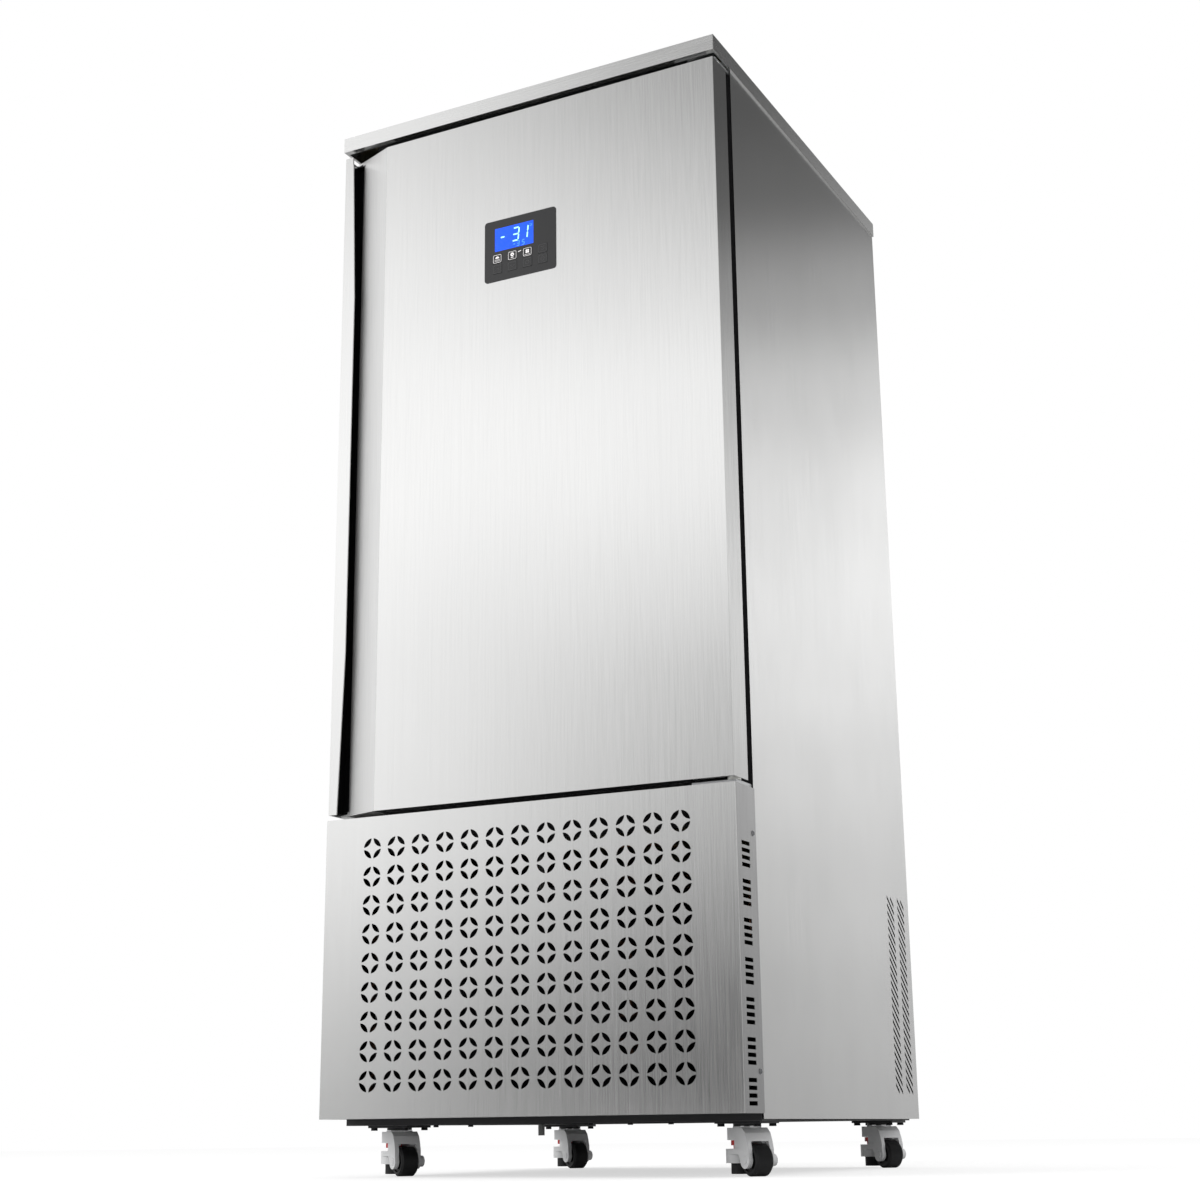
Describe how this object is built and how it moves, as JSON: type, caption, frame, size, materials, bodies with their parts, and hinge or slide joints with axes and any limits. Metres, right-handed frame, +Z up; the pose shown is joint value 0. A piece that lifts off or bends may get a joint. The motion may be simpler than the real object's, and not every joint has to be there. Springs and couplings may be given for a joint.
{
  "type": "blast chiller",
  "caption": "Upright brushed-steel blast chiller with a full-height door, black control panel, perforated grille panel and levelling casters.",
  "frame": {"origin": "centre of the footprint, on the floor", "axes": "+X to the viewer's right, the hinge side; +Y from the door to the rear; +Z up"},
  "size_m": [0.8, 0.857, 1.977],
  "materials": {
    "stainless": "vertical brushed grain, satin",
    "liner_steel": "fine satin",
    "black_steel": "satin black powder coat",
    "zinc_plate": "bright zinc plate",
    "screws": "plated, slightly worn",
    "frame_plastic": "dark matte",
    "foam": "rigid insulating foam",
    "coil_fins": "fine pressed fins",
    "motor_paint": "satin dark paint",
    "compressor_paint": "gloss black paint",
    "box_plastic": "light grey matte",
    "copper_pipe": "drawn copper, slightly dulled",
    "gasket_rubber": "matte black",
    "nylon": "natural nylon",
    "control_black": "gloss black",
    "display": "deep blue lit display",
    "fan_plastic": "matte black",
    "fork_grey": "light grey die-cast, satin",
    "wheel_black": "matte black tread",
    "thumb_red": "moulded red",
    "foot_rubber": "matte black"
  },
  "bodies": {
    "cabinet": {"base_frame": "black_steel", "caster_plates": "black_steel", "side_panel_left": "stainless", "side_panel_right": "stainless", "back_panel": "stainless", "top_cover": "stainless", "grille_panel": "stainless", "fasteners": "screws", "front_frame": "frame_plastic", "cabinet_foam": "foam", "inner_liner": "liner_steel", "rack_posts": "liner_steel", "tray_ledges": "liner_steel", "fan_baffle": "liner_steel", "evaporator_coil": "coil_fins", "fan_motors": "motor_paint", "condenser_coil": "coil_fins", "fan_shroud": "motor_paint", "compressor": "compressor_paint", "liquid_receiver": "compressor_paint", "electrical_box": "box_plastic", "refrigerant_pipes": "copper_pipe", "drain_tube": "box_plastic", "hinge_brackets": "zinc_plate"},
    "door": {"door_skin": "stainless", "door_pull": "stainless", "door_foam": "foam", "door_liner": "liner_steel", "door_gasket": "gasket_rubber", "hinge_bushes": "nylon", "control_bezel": "control_black", "display_board": "display"},
    "key_top_1": {"key_top_1": "control_black"},
    "key_top_2": {"key_top_2": "control_black"},
    "key_top_3": {"key_top_3": "control_black"},
    "key_top_4": {"key_top_4": "control_black"},
    "key_bottom_1": {"key_bottom_1": "control_black"},
    "key_bottom_2": {"key_bottom_2": "control_black"},
    "key_bottom_3": {"key_bottom_3": "control_black"},
    "key_bottom_4": {"key_bottom_4": "control_black"},
    "evap_fan_low": {"evap_fan_low": "fan_plastic"},
    "evap_fan_mid": {"evap_fan_mid": "fan_plastic"},
    "evap_fan_high": {"evap_fan_high": "fan_plastic"},
    "condenser_fan": {"condenser_fan": "fan_plastic"},
    "caster_front_left": {"caster_front_left_fork": "fork_grey"},
    "caster_front_left_wheel": {"caster_front_left_wheel": "wheel_black"},
    "caster_front_left_thumbwheel": {"caster_front_left_thumbwheel": "thumb_red"},
    "caster_front_left_foot": {"caster_front_left_foot": "foot_rubber"},
    "caster_front_right": {"caster_front_right_fork": "fork_grey"},
    "caster_front_right_wheel": {"caster_front_right_wheel": "wheel_black"},
    "caster_front_right_thumbwheel": {"caster_front_right_thumbwheel": "thumb_red"},
    "caster_front_right_foot": {"caster_front_right_foot": "foot_rubber"},
    "caster_rear_left": {"caster_rear_left_fork": "fork_grey"},
    "caster_rear_left_wheel": {"caster_rear_left_wheel": "wheel_black"},
    "caster_rear_left_thumbwheel": {"caster_rear_left_thumbwheel": "thumb_red"},
    "caster_rear_left_foot": {"caster_rear_left_foot": "foot_rubber"},
    "caster_rear_right": {"caster_rear_right_fork": "fork_grey"},
    "caster_rear_right_wheel": {"caster_rear_right_wheel": "wheel_black"},
    "caster_rear_right_thumbwheel": {"caster_rear_right_thumbwheel": "thumb_red"},
    "caster_rear_right_foot": {"caster_rear_right_foot": "foot_rubber"}
  },
  "joints": [
    {"name": "door_hinge", "type": "hinge", "parent": "cabinet", "child": "door", "pos_m": [0.3855, -0.3975, 1.2795], "axis": [0, 0, 1], "range_deg": [0, 110]},
    {"name": "key_top_1_press", "type": "slide", "parent": "door", "child": "key_top_1", "axis": [0, 1, 0], "range_m": [0, 0.0005], "stiffness_N_per_m": 800},
    {"name": "key_top_2_press", "type": "slide", "parent": "door", "child": "key_top_2", "axis": [0, 1, 0], "range_m": [0, 0.0005], "stiffness_N_per_m": 800},
    {"name": "key_top_3_press", "type": "slide", "parent": "door", "child": "key_top_3", "axis": [0, 1, 0], "range_m": [0, 0.0005], "stiffness_N_per_m": 800},
    {"name": "key_top_4_press", "type": "slide", "parent": "door", "child": "key_top_4", "axis": [0, 1, 0], "range_m": [0, 0.0005], "stiffness_N_per_m": 800},
    {"name": "key_bottom_1_press", "type": "slide", "parent": "door", "child": "key_bottom_1", "axis": [0, 1, 0], "range_m": [0, 0.0005], "stiffness_N_per_m": 800},
    {"name": "key_bottom_2_press", "type": "slide", "parent": "door", "child": "key_bottom_2", "axis": [0, 1, 0], "range_m": [0, 0.0005], "stiffness_N_per_m": 800},
    {"name": "key_bottom_3_press", "type": "slide", "parent": "door", "child": "key_bottom_3", "axis": [0, 1, 0], "range_m": [0, 0.0005], "stiffness_N_per_m": 800},
    {"name": "key_bottom_4_press", "type": "slide", "parent": "door", "child": "key_bottom_4", "axis": [0, 1, 0], "range_m": [0, 0.0005], "stiffness_N_per_m": 800},
    {"name": "evap_fan_low_spin", "type": "hinge", "parent": "cabinet", "child": "evap_fan_low", "pos_m": [0, 0.1728, 0.931], "axis": [0, 1, 0], "continuous": true},
    {"name": "evap_fan_mid_spin", "type": "hinge", "parent": "cabinet", "child": "evap_fan_mid", "pos_m": [0, 0.1728, 1.281], "axis": [0, 1, 0], "continuous": true},
    {"name": "evap_fan_high_spin", "type": "hinge", "parent": "cabinet", "child": "evap_fan_high", "pos_m": [0, 0.1728, 1.631], "axis": [0, 1, 0], "continuous": true},
    {"name": "condenser_fan_spin", "type": "hinge", "parent": "cabinet", "child": "condenser_fan", "pos_m": [-0.11, -0.2445, 0.2885], "axis": [0, 1, 0], "continuous": true},
    {"name": "caster_front_left_swivel", "type": "hinge", "parent": "cabinet", "child": "caster_front_left", "pos_m": [-0.335, -0.2705, 0.07], "axis": [0, 0, 1], "continuous": true},
    {"name": "caster_front_left_roll", "type": "hinge", "parent": "caster_front_left", "child": "caster_front_left_wheel", "pos_m": [-0.31179, -0.28616, 0.025], "axis": [0.5592, 0.829, 0], "continuous": true},
    {"name": "caster_front_left_turn", "type": "hinge", "parent": "caster_front_left", "child": "caster_front_left_thumbwheel", "pos_m": [-0.35324, -0.2582, 0.0495], "axis": [0, 0, 1], "range_deg": [0, 2160]},
    {"name": "caster_front_left_level", "type": "slide", "parent": "caster_front_left", "child": "caster_front_left_foot", "axis": [0, 0, -1], "range_m": [0, 0.012]},
    {"name": "caster_front_right_swivel", "type": "hinge", "parent": "cabinet", "child": "caster_front_right", "pos_m": [0.335, -0.2705, 0.07], "axis": [0, 0, 1], "continuous": true},
    {"name": "caster_front_right_roll", "type": "hinge", "parent": "caster_front_right", "child": "caster_front_right_wheel", "pos_m": [0.35821, -0.28616, 0.025], "axis": [0.5592, 0.829, 0], "continuous": true},
    {"name": "caster_front_right_turn", "type": "hinge", "parent": "caster_front_right", "child": "caster_front_right_thumbwheel", "pos_m": [0.31676, -0.2582, 0.0495], "axis": [0, 0, 1], "range_deg": [0, 2160]},
    {"name": "caster_front_right_level", "type": "slide", "parent": "caster_front_right", "child": "caster_front_right_foot", "axis": [0, 0, -1], "range_m": [0, 0.012]},
    {"name": "caster_rear_left_swivel", "type": "hinge", "parent": "cabinet", "child": "caster_rear_left", "pos_m": [-0.335, 0.3695, 0.07], "axis": [0, 0, 1], "continuous": true},
    {"name": "caster_rear_left_roll", "type": "hinge", "parent": "caster_rear_left", "child": "caster_rear_left_wheel", "pos_m": [-0.31179, 0.35384, 0.025], "axis": [0.5592, 0.829, 0], "continuous": true},
    {"name": "caster_rear_left_turn", "type": "hinge", "parent": "caster_rear_left", "child": "caster_rear_left_thumbwheel", "pos_m": [-0.35324, 0.3818, 0.0495], "axis": [0, 0, 1], "range_deg": [0, 2160]},
    {"name": "caster_rear_left_level", "type": "slide", "parent": "caster_rear_left", "child": "caster_rear_left_foot", "axis": [0, 0, -1], "range_m": [0, 0.012]},
    {"name": "caster_rear_right_swivel", "type": "hinge", "parent": "cabinet", "child": "caster_rear_right", "pos_m": [0.335, 0.3695, 0.07], "axis": [0, 0, 1], "continuous": true},
    {"name": "caster_rear_right_roll", "type": "hinge", "parent": "caster_rear_right", "child": "caster_rear_right_wheel", "pos_m": [0.35821, 0.35384, 0.025], "axis": [0.5592, 0.829, 0], "continuous": true},
    {"name": "caster_rear_right_turn", "type": "hinge", "parent": "caster_rear_right", "child": "caster_rear_right_thumbwheel", "pos_m": [0.31676, 0.3818, 0.0495], "axis": [0, 0, 1], "range_deg": [0, 2160]},
    {"name": "caster_rear_right_level", "type": "slide", "parent": "caster_rear_right", "child": "caster_rear_right_foot", "axis": [0, 0, -1], "range_m": [0, 0.012]}
  ],
  "couplings": [
    {"joint": "caster_front_left_turn", "follows": "caster_front_left_level", "rad_per_m": 3141.6},
    {"joint": "caster_front_right_turn", "follows": "caster_front_right_level", "rad_per_m": 3141.6},
    {"joint": "caster_rear_left_turn", "follows": "caster_rear_left_level", "rad_per_m": 3141.6},
    {"joint": "caster_rear_right_turn", "follows": "caster_rear_right_level", "rad_per_m": 3141.6}
  ]
}
